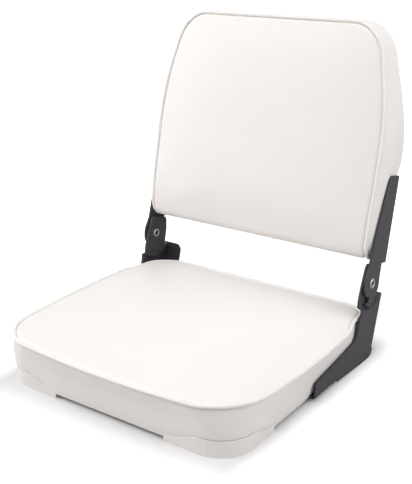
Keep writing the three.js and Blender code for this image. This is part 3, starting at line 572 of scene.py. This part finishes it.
def vinyl_finish():
    """Soft white marine vinyl with a fine pressed grain."""
    vinyl = Finish("white vinyl")
    pores = vinyl.cells(1.3, "DISTANCE_TO_EDGE")
    fine = vinyl.specks(0.5, 3.0)
    tone = vinyl.specks(90, 3.0, 0.6)
    handled = vinyl.specks(34, 4.0, 0.62)
    colour = vinyl.blend(tone, (0.865, 0.83, 0.803), (0.905, 0.872, 0.85))
    vinyl.shader(
        base_color=vinyl.blend(handled * 0.25, colour, (0.84, 0.803, 0.773)),
        roughness=handled * 0.14 + fine * 0.06 + 0.36,
        specular_ior_level=0.42,
        coat_weight=0.08,
        coat_roughness=0.35,
        subsurface_weight=0.06,
        subsurface_radius=(0.003, 0.0026, 0.0022),
    )
    vinyl.relief(pores * 0.7 + fine * 0.3, 0.1, 0.55)
    return vinyl


def powder_finish():
    """Charcoal powder coat with a faint orange peel and rubbed spots."""
    powder = Finish("charcoal powder coat")
    peel = powder.specks(1.1, 2.0)
    grain = powder.specks(0.3, 2.0)
    rubbed = powder.specks(16, 5.0, 0.7)
    colour = powder.blend(rubbed, (0.034, 0.032, 0.038), (0.052, 0.049, 0.057))
    powder.shader(
        base_color=powder.blend(grain * 0.3, colour, (0.066, 0.063, 0.071)),
        roughness=rubbed * 0.14 + grain * 0.08 + 0.42,
        specular_ior_level=0.29,
    )
    powder.relief(peel * 0.8 + grain * 0.2, 0.08, 0.5)
    return powder


def plastic_finish():
    """Moulded white plastic with a fine spark texture."""
    plastic = Finish("moulded white plastic")
    spark = plastic.specks(0.6, 2.0)
    tone = plastic.specks(40, 3.0)
    plastic.shader(
        base_color=plastic.blend(tone, (0.85, 0.812, 0.79), (0.89, 0.853, 0.83)),
        roughness=tone * 0.1 + spark * 0.08 + 0.4,
        specular_ior_level=0.45,
        subsurface_weight=0.05,
        subsurface_radius=(0.002, 0.002, 0.002),
    )
    plastic.relief(spark, 0.05, 0.5)
    return plastic


def metal_finish(name, dark, light, roughness):
    """Plated or machined metal with fine turning marks."""
    metal = Finish(name)
    marks = metal.specks(0.35, 3.0)
    cloud = metal.specks(3.5, 3.0)
    metal.shader(
        base_color=metal.blend(cloud, dark, light),
        metallic=1.0,
        roughness=marks * 0.12 + cloud * 0.1 + roughness,
    )
    metal.relief(marks, 0.03, 0.4)
    return metal


def nylon_and_bore_shade_finish():
    """Black nylon, also used as painted shade on the walls of the rivets' holes."""
    nylon_and_bore_shade = Finish("black nylon")
    grain = nylon_and_bore_shade.specks(0.4, 2.0)
    nylon_and_bore_shade.shader(
        base_color=nylon_and_bore_shade.blend(grain, (0.014, 0.014, 0.016), (0.026, 0.026, 0.028)),
        roughness=grain * 0.1 + 0.45,
    )
    nylon_and_bore_shade.relief(grain, 0.03, 0.4)
    return nylon_and_bore_shade


def plywood_finish():
    """Birch plywood: long grain with rays."""
    wood = Finish("birch plywood")
    long = wood.node(
        "ShaderNodeVectorMath",
        {"operation": "MULTIPLY"},
        {0: wood.at, 1: (60.0, 900.0, 900.0)},
    )
    grain = wood.node("ShaderNodeTexNoise", inputs={"Vector": long, "Scale": 0.5, "Detail": 5.0})
    wood.shader(
        base_color=wood.blend(grain, (0.36, 0.24, 0.12), (0.56, 0.42, 0.24)),
        roughness=grain * 0.2 + 0.55,
    )
    wood.relief(grain, 0.1, 0.4)
    return wood


vinyl = vinyl_finish()
powder = powder_finish()
plastic = plastic_finish()
bright = metal_finish("zinc plated steel", (0.3, 0.3, 0.31), (0.42, 0.42, 0.43), 0.22)
brass = metal_finish("machined brass", (0.55, 0.4, 0.16), (0.72, 0.56, 0.27), 0.24)
nylon_and_bore_shade = nylon_and_bore_shade_finish()
plywood = plywood_finish()


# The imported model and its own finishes

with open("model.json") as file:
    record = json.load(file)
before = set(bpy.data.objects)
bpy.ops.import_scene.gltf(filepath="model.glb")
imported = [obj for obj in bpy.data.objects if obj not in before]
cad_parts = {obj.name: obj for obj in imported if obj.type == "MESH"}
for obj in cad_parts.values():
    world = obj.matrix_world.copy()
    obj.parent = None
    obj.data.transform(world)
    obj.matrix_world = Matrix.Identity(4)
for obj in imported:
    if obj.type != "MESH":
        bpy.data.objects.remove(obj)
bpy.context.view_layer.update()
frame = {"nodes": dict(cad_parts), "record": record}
FINISH_OF_SLOT = {
    "white_vinyl": vinyl,
    "foam": vinyl,
    "white_plastic": plastic,
    "charcoal_steel": powder,
    "bright_steel": bright,
    "brass": brass,
    "black_nylon": nylon_and_bore_shade,
    "plywood": plywood,
}
SLOTS = {part["node"]: part["material_slot"] for part in frame["record"]["subparts"]}
SOFTENED_EDGES = {"seat_pan": 0.7, "seat_bracket": 0.45, "back_bracket": 0.45}
for name, node in frame["nodes"].items():
    node.data.materials.clear()
    node.data.materials.append(FINISH_OF_SLOT[SLOTS[name]].material)
    node.data.shade_smooth()
    node.data.set_sharp_from_angle(angle=math.radians(32))
    for start, width in SOFTENED_EDGES.items():
        if name.startswith(start):
            edge = node.modifiers.new("softened edges", "BEVEL")
            edge.width = width * MM
            edge.segments = 2
            edge.limit_method = "ANGLE"
            edge.angle_limit = math.radians(38)
            edge.harden_normals = True
            even = node.modifiers.new("even shading", "WEIGHTED_NORMAL")
            even.keep_sharp = True
            even.weight = 70


# Seat cushion


def rolled_edge(from_edge):
    """Height of a panel beside its seam, from 0 at the seam to 1 where the roll ends."""
    return math.sqrt(1 - (1 - min(1, from_edge / ROLLED_WIDTH)) ** 2)


def seat_top():
    """The crowned top panel: it rolls down beside the welt and into the seam."""
    edge = seat_outline(SEAM_INSET)

    def place(x, y, share):
        roll = ROLLED_RISE * rolled_edge((1 - share) * SEAT_FRONT_HALF)
        crown = SEAT_CROWN * (1 - share**3)
        return (x, y, seam_height(y) + WELT_RADIUS - ROLLED_SINK + roll + crown)

    points, faces, rim = panel_grid(edge, place)
    top = piece_of("seat_top", points, faces, vinyl, "seat")
    swell(top, rim)
    refine(top)
    return top


def seat_side():
    """The side band, from under the welt down to its hem under the pan."""
    steps = [0, 0.02, 0.06, 0.14, 0.24, 0.34, 0.44, 0.54, 0.64, 0.74, 0.83, 0.9, 0.95, 0.985, 1]
    count = len(seat_outline())
    inner = seat_outline(6 + WELT_OVERHANG)
    rings = []

    def ring(share, inset, drop=0.0):
        low, high = cover_outline(inset), seat_outline(inset + WELT_OVERHANG)
        made = []
        for i in range(count):
            seam = seam_height(high[i][1])
            foot = cover_edge(*low[i])
            z = foot + (seam + 0.6 - foot) * share - drop
            lean = lean_share(z, seam)
            x = low[i][0] + (high[i][0] - low[i][0]) * lean
            y = low[i][1] + (high[i][1] - low[i][1]) * lean
            puff = COVER_PUFF * math.sin(math.pi * share)
            pucker = noise.noise(Vector((x / 17, y / 17, 3.1))) * 0.8 * share**6
            outward = Vector((high[i][0] - inner[i][0], high[i][1] - inner[i][1])).normalized()
            x += outward.x * (puff + pucker)
            y += outward.y * (puff + pucker)
            made.append((held_in(x, y, z), y, z))
        return made

    rings.append(ring(0, 7.0, 0.5))
    rings.append(ring(0, 3.0, 0.7))
    rings.append(ring(0, 1.2, 0.5))
    for share in steps:
        curled = HEM_CURL * (1 - smooth_step(share, 0, 0.14))
        tucked = SEAM_TUCK * max(0, (share - 0.95) / 0.05) ** 1.5
        rings.append(ring(share, curled + tucked))
    points, faces = band(rings)
    side = piece_of("seat_side", points, faces, vinyl, "seat")
    refine(side)
    return side


def welt(name, ring_at, body):
    """Welt cord in a seam: a tube with the slight unevenness of sewing."""
    rings = []
    for k in range(WELT_SIDES):
        angle = 2 * math.pi * k / WELT_SIDES
        rings.append(ring_at(WELT_RADIUS * math.cos(angle), WELT_RADIUS * math.sin(angle)))
    points, faces = band(rings, closed=True)
    for i, (x, y, z) in enumerate(points):
        wander = noise.noise(Vector((x, y, z)) / 21) * 0.35
        points[i] = (x, y, z + wander)
    cord = piece_of(name, points, faces, vinyl, body)
    refine(cord)
    return cord


def seat_welt_ring(out, up):
    """A line along the seat's welt cord, at a place in its round section."""
    ring = []
    for x, y in seat_outline(WELT_SETBACK - out):
        ring.append((x, y, seam_height(y) + WELT_RADIUS + up))
    return ring


top = seat_top()
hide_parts("seat_top_panel", "seat_foam")
side = seat_side()
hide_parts("seat_boxing")
seat_welt = welt("seat_welt", seat_welt_ring, "seat")
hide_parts("seat_piping")


# Backrest cushion


def back_front():
    """The crowned front panel, which rolls under at its foot."""
    edge = panel_outline(SEAM_INSET)

    def place(x, v, share):
        roll = ROLLED_RISE * rolled_edge((1 - share) * BACK_HALF)
        crown = BACK_CROWN * (1 - share**3) * smooth_step(v, -5, 60)
        out = roll - ROLLED_SINK + crown
        w, rise = rolled_under(v, out)
        return back_place(x, w, rise)

    points, faces, rim = panel_grid(edge, place)
    front = piece_of("back_front", points, faces, vinyl, "backrest")
    swell(front, rim)
    refine(front)
    return front


def side_swell(v):
    """The sides swell out below and draw in towards the top."""
    wide, narrow = BACK_SIDE_SWELL
    return wide + (narrow - wide) * smooth_step(v, 150, 280)


def rear_bulge(v):
    """The rear swells out above the brackets' flanges."""
    above_plate = smooth_step(v, PLATE_TOP - 2, PLATE_TOP + 14)
    return REAR_BULGE * above_plate * (1 - smooth_step(v, 150, 300))


def back_cover():
    """Sides of the backrest with a rounded rear edge, and the rear panel that overlaps it."""
    start = []
    for x, v in panel_outline(0.8):
        w, rise = rolled_under(v, -1.2)
        start.append((x, w, rise))

    def ring(inset, share, depth, puff=0.0):
        made = []
        inner = back_outline(inset + 4)
        for k, ((x, v), (xi, vi)) in enumerate(zip(back_outline(inset), inner)):
            x0, w0, v0 = start[k]
            outward = Vector((x - xi, v - vi)).normalized()
            join = smooth_step(share, 0, 0.3 if v > 60 else 0.14)
            w = w0 + (depth + rear_bulge(v) - w0) * share
            pucker = noise.noise(Vector((x / 23, v / 23, w / 9))) * 0.5 * math.sin(math.pi * share)
            widen = side_swell(v) * puff + pucker
            x = x0 + (x - x0) * join + outward.x * widen
            v = v0 + (v - v0) * join + outward.y * (BACK_SWELL * puff + pucker)
            x += (beside_plate(x, w, v) - x) * smooth_step(share, 0, 0.1)
            made.append(back_place(x, w, v))
        return made

    straight = BACK_THICKNESS - BACK_REAR_RADIUS
    rings = [ring(1.6, 0, straight), ring(0.6, 0.02, straight, 0.02)]
    for share in (0.05, 0.09, 0.14, 0.2, 0.3, 0.42, 0.55, 0.7, 0.85):
        rings.append(ring(0, share, straight, smooth_step(share, 0, 0.55)))
    for i in range(7):
        angle = i / 6 * math.pi / 2
        inset = BACK_REAR_RADIUS * (1 - math.cos(angle)) + REAR_OVERLAP * (i / 6) ** 4
        depth = straight + BACK_REAR_RADIUS * math.sin(angle)
        rings.append(ring(inset, 1, depth, 1))
    points, faces = band(rings)
    edge = back_outline(BACK_REAR_RADIUS)

    def place(x, v, share):
        crown = REAR_CROWN * (1 - share**2.5)
        return back_place(x, BACK_THICKNESS + rear_bulge(v) + crown, v)

    rear_points, rear_faces, _ = panel_grid(edge, place, rings=20)
    cover = piece_of("back_cover", points, faces, vinyl, "backrest")
    refine(cover)
    rear = piece_of("back_rear", rear_points, rear_faces, vinyl, "backrest")
    refine(rear)
    return cover, rear


def back_welt_ring(out, up):
    """A line along the backrest's welt cord, at a place in its round section."""
    ring = []
    for x, v in panel_outline(WELT_SETBACK - out):
        w, rise = rolled_under(v, -up)
        ring.append(back_place(x, w, rise))
    return ring


front = back_front()
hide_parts("back_front_panel", "back_foam")
cover, rear = back_cover()
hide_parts("back_rear_cover")
back_welt = welt("back_welt", back_welt_ring, "backrest")
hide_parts("back_piping")


# Rivets and screws


def rivet(name, side):
    """A tubular rivet: a domed head with a rolled lip outside, a flared rim inside."""
    profile = [
        (3.7, RIVET_INNER - 0.9),
        (4.3, RIVET_INNER - 1.6),
        (5.4, RIVET_INNER - 1.8),
        (6.8, RIVET_INNER - 1.3),
        (7.4, RIVET_INNER - 0.5),
        (7.4, RIVET_INNER),
        (RIVET_SHANK, RIVET_INNER),
        (RIVET_SHANK, RIVET_OUTER),
        (7.7, RIVET_OUTER),
        (7.8, RIVET_OUTER + 0.5),
        (7.4, RIVET_OUTER + 1.1),
        (6.3, RIVET_OUTER + 1.6),
        (5.2, RIVET_OUTER + 1.8),
        (4.3, RIVET_OUTER + 1.5),
        (3.8, RIVET_OUTER + 0.7),
    ]
    turn = Matrix.Rotation(math.pi / 2 * side, 4, "Y")
    matrix = Matrix.Translation((0, PIVOT_Y, PIVOT_Z)) @ turn
    points, faces = band(lathe(profile, matrix), closed=True)
    made = piece_of(name, points, faces, bright, "seat")
    made.data.set_sharp_from_angle(angle=math.radians(50))
    made.data.materials.append(nylon_and_bore_shade.material)
    # The last ring of faces closes the tube: it is the rivet's hole, whose wall carries painted
    # shade in the black finish
    first_painted_shade_face = len(faces) - len(faces) // len(profile)
    for face in made.data.polygons:
        if face.index >= first_painted_shade_face:
            face.material_index = 1
    return made


def cross_cutter(matrix):
    """The tapered cross of a screwdriver's tip."""
    builder = bmesh.new()
    for turn in (0, math.pi / 2):
        made = bmesh.ops.create_cube(builder, size=1)["verts"]
        for vertex in made:
            taper = 1.0 if vertex.co.z > 0 else 0.55
            vertex.co.x *= 5.2 * taper
            vertex.co.y *= 1.1 * taper
            vertex.co.z = vertex.co.z * 3 + 2.6
        bmesh.ops.rotate(builder, verts=made, matrix=Matrix.Rotation(turn, 3, "Z"))
    mesh = bpy.data.meshes.new("cutter")
    builder.to_mesh(mesh)
    builder.free()
    mesh.transform(matrix)
    mesh.transform(Matrix.Scale(MM, 4))
    return bpy.data.objects.new("cutter", mesh)


def screw(name, matrix, body):
    """A pan-head machine screw with a cross recess, its seat at z = 0."""
    profile = [
        (0.01, -11),
        (2.2, -11),
        (2.9, -10.2),
        (2.9, 0),
        (5.1, 0),
        (5.4, 0.4),
        (5.4, 1.5),
        (5.0, 2.3),
        (4.0, 2.9),
        (2.4, 3.15),
        (0.01, 3.2),
    ]
    points, faces = band(lathe(profile, matrix, SCREW_SIDES))
    faces.append(tuple(range(SCREW_SIDES)))
    faces.append(tuple(range(len(points) - SCREW_SIDES, len(points))))
    made = piece_of(name, points, faces, bright, body)
    cutter = cross_cutter(matrix)
    bpy.context.collection.objects.link(cutter)
    cut = made.modifiers.new("recess", "BOOLEAN")
    cut.operation = "DIFFERENCE"
    cut.object = cutter
    cut.solver = "EXACT"
    cut.use_self = True
    seen = made.evaluated_get(bpy.context.evaluated_depsgraph_get())
    mesh = bpy.data.meshes.new_from_object(seen)
    made.modifiers.remove(cut)
    made.data = mesh
    mesh.shade_smooth()
    mesh.set_sharp_from_angle(angle=math.radians(40))
    bpy.data.objects.remove(cutter)
    return made


for side_name, side_sign in (("right", 1), ("left", -1)):
    made = rivet(f"rivet_{side_name}", side_sign)
    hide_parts(f"hinge_rivet_{side_name}")
    face_down = Matrix.Rotation(math.pi, 4, "X")
    for end, y in PAN_SCREW_Y.items():
        place = Matrix.Translation((side_sign * PAN_SCREW_X, y, PAN_SCREW_Z)) @ face_down
        made = screw(f"pan_bolt_{side_name}_{end}", place, "seat")
        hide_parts(f"pan_screw_{side_name}_{end}")
    leaned = Matrix.Translation((0, UPRIGHT_REAR_Y, UPRIGHT_TOP_Z))
    leaned = leaned @ Matrix.Rotation(-UPRIGHT_LEAN, 4, "X")
    drop = (UPRIGHT_TOP_Z - SEAT_SCREW_Z) / math.cos(UPRIGHT_LEAN)
    to_rear = Matrix.Rotation(-math.pi / 2, 4, "X")
    place = leaned @ Matrix.Translation((side_sign * SEAT_SCREW_X, 0.1, -drop)) @ to_rear
    made = screw(f"flange_bolt_{side_name}", place, "seat")
    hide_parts(f"rear_flange_screw_{side_name}")
    upright = Matrix.Translation((0, BACK_SEAM_Y, BACK_SEAM_Z))
    upright = upright @ Matrix.Rotation(-BACK_LEAN, 4, "X")
    for end, height in BACK_SCREW_HEIGHTS.items():
        seat_of_head = Matrix.Translation((side_sign * BACK_SCREW_X, BACK_SCREW_DEPTH, height))
        made = screw(f"back_bolt_{side_name}_{end}", upright @ seat_of_head @ to_rear, "backrest")
        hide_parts(f"back_screw_{side_name}_{end}")


# Camera, light and floor, in metres

CAMERA_TURN = (35.332, 19.387, 0.147)
CAMERA_TARGET = (0.02883, -0.0295, 0.2)
CAMERA_DISTANCE = 1.17403
SEAT_MIDDLE = (0, 0, 0.2)
# The seat's footprint, and how distance from it is scaled along x and y for the floor's painted
# shadow
FOOTPRINT = (0.185, 0.18, 0)
SHADOW_SPREAD = (2.5, 1.1, 0)


def add_camera():
    """The photograph's view, with a small shift for its framing."""
    azimuth, elevation, roll = (math.radians(angle) for angle in CAMERA_TURN)
    level = math.cos(elevation)
    back = Vector(
        (math.sin(azimuth) * level, -math.cos(azimuth) * level, math.sin(elevation))
    )
    across = (-back).cross(Vector((0, 0, 1))).normalized()
    up = across.cross(-back)
    turned_across = across * math.cos(roll) + up * math.sin(roll)
    turned_up = up * math.cos(roll) - across * math.sin(roll)
    data = bpy.data.cameras.new("camera")
    data.lens = 65.788
    data.sensor_width = 36
    data.shift_x = 0.02364
    data.shift_y = 0.00477
    camera = bpy.data.objects.new("camera", data)
    bpy.context.collection.objects.link(camera)
    axes = Matrix((turned_across, turned_up, back)).transposed().to_4x4()
    place = Vector(CAMERA_TARGET) + back * CAMERA_DISTANCE
    camera.matrix_world = Matrix.Translation(place) @ axes
    bpy.context.scene.camera = camera


def add_lamp(name, place, size, power):
    """A round lamp of a size in metres and a power in watts, aimed at the seat."""
    data = bpy.data.lights.new(name, "AREA")
    data.shape = "DISK"
    data.size = size
    data.energy = power
    lamp = bpy.data.objects.new(name, data)
    lamp.location = place
    aim = (Vector(SEAT_MIDDLE) - Vector(place)).to_track_quat("-Z", "Y")
    lamp.rotation_euler = aim.to_euler()
    bpy.context.collection.objects.link(lamp)


def add_world(ambient):
    """A white surround for the camera and for reflections, softer as a light."""
    world = bpy.data.worlds.new("surround")
    bpy.context.scene.world = world
    world.use_nodes = True
    tree = world.node_tree
    path = tree.nodes.new("ShaderNodeLightPath")
    shown = tree.nodes.new("ShaderNodeMath")
    shown.operation = "MAXIMUM"
    tree.links.new(path.outputs["Is Camera Ray"], shown.inputs[0])
    tree.links.new(path.outputs["Is Glossy Ray"], shown.inputs[1])
    strength = tree.nodes.new("ShaderNodeMapRange")
    strength.inputs["To Min"].default_value = ambient
    strength.inputs["To Max"].default_value = 1.0
    tree.links.new(shown.outputs[0], strength.inputs["Value"])
    background = tree.nodes["Background"]
    background.inputs["Color"].default_value = (1, 1, 1, 1)
    tree.links.new(strength.outputs[0], background.inputs["Strength"])


def add_floor():
    """A floor, white away from the seat, that keeps the lamps' soft shadow beside and under the
    seat, deepened there by painted shadow where its glow fades.
    """
    floor_with_painted_shadow = Finish("white floor with painted shadow")
    beyond = floor_with_painted_shadow.vector("ABSOLUTE", floor_with_painted_shadow.at)
    beyond = floor_with_painted_shadow.vector("SUBTRACT", beyond, FOOTPRINT)
    beyond = floor_with_painted_shadow.vector("MAXIMUM", beyond, (0, 0, 0))
    beyond = floor_with_painted_shadow.vector("MULTIPLY", beyond, SHADOW_SPREAD)
    beyond = floor_with_painted_shadow.vector("LENGTH", beyond, output=1)
    # Painted shadow: the glow the camera sees is held low at the seat's footprint and rises over
    # 0.11 m beyond it; farther off it rises more, so the floor turns white
    near = floor_with_painted_shadow.ramp(beyond, -0.01, 0.11, 0.0, 0.6)
    far = floor_with_painted_shadow.ramp(beyond, 0.1, 1.0, 0, 0.5)
    seen = floor_with_painted_shadow.node("ShaderNodeLightPath", output="Is Camera Ray")
    floor_with_painted_shadow.shader(
        base_color=(0.75, 0.75, 0.75, 1),
        roughness=0.9,
        specular_ior_level=0.0,
        emission_color=seen * (near + far),
        emission_strength=1.0,
    )
    wide = 20
    corners = [(-wide, -wide, 0), (wide, -wide, 0), (wide, wide, 0), (-wide, wide, 0)]
    mesh = bpy.data.meshes.new("floor")
    mesh.from_pydata(corners, [], [(0, 1, 2, 3)])
    mesh.materials.append(floor_with_painted_shadow.material)
    floor = bpy.data.objects.new("floor", mesh)
    bpy.context.collection.objects.link(floor)


add_camera()
add_world(0.02)
add_lamp("overhead", (0, 0, 2.6), 3.0, 19)
add_lamp("front above", (0.1, -1.3, 2.4), 2.6, 38)
add_lamp("front left", (-1.5, -1.5, 1.3), 2.2, 10)
add_lamp("left", (-2.0, -0.8, 1.0), 1.8, 20)
add_lamp("right", (2.0, 0.3, 1.1), 1.6, 13)
add_lamp("right rear", (1.7, 1.3, 1.2), 1.6, 13)
add_floor()
bpy.context.scene.view_settings.view_transform = "Standard"
